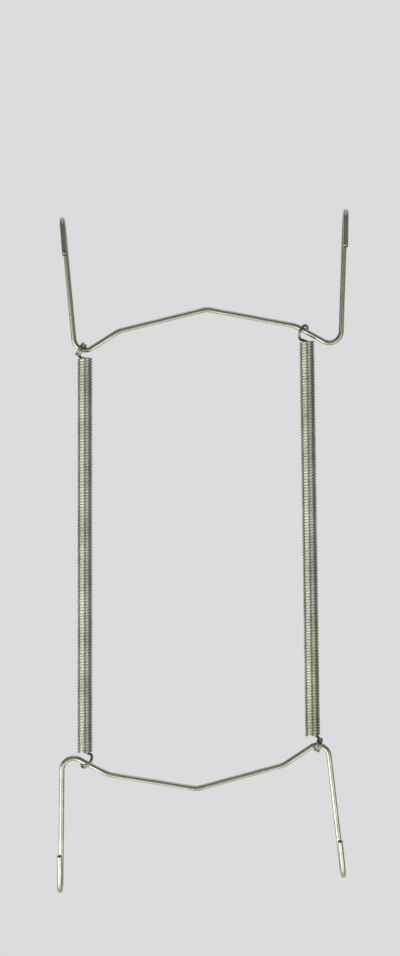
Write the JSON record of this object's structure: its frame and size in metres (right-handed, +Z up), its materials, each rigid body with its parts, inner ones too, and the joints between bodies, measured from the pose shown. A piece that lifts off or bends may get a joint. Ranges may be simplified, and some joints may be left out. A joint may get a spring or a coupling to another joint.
{
  "type": "wire plate hanger",
  "caption": "Spring hanger for a wall plate: bent steel wires with folded rim hooks, joined by close-wound extension springs that pull the hooks onto the rim.",
  "frame": {"origin": "nail seat, on the underside of the middle bend of the upper wire", "axes": "+Z up along the hanger, +X to the viewer's right, the rim hooks point towards -Y, where the plate is"},
  "size_m": [0.0662, 0.0099, 0.1556],
  "materials": {
    "hanger_wire": "bright drawn wire with a thin nickel-like plating",
    "spring_wire": "drawn spring wire, plated"
  },
  "bodies": {
    "upper_wire": {"upper_wire": "hanger_wire"},
    "left_spring": {"left_spring": "spring_wire"},
    "right_spring": {"right_spring": "spring_wire"},
    "lower_wire": {"lower_wire": "hanger_wire"}
  },
  "joints": [
    {"name": "upper_swing", "type": "hinge", "parent": "upper_wire", "child": "left_spring", "pos_m": [-0.02846, 0, -0.00851], "axis": [0.9963, 0, 0.0863], "range_deg": [-45, 45]},
    {"name": "spring_stretch", "type": "slide", "parent": "left_spring", "child": "right_spring", "axis": [0, 0, -1], "range_m": [0, 0.102], "stiffness_N_per_m": 300, "deforming": ["left_spring", "right_spring"]},
    {"name": "lower_swing", "type": "hinge", "parent": "right_spring", "child": "lower_wire", "pos_m": [-0.02762, 0, -0.10302], "axis": [0.997, 0, 0.0768], "range_deg": [-45, 45]}
  ]
}
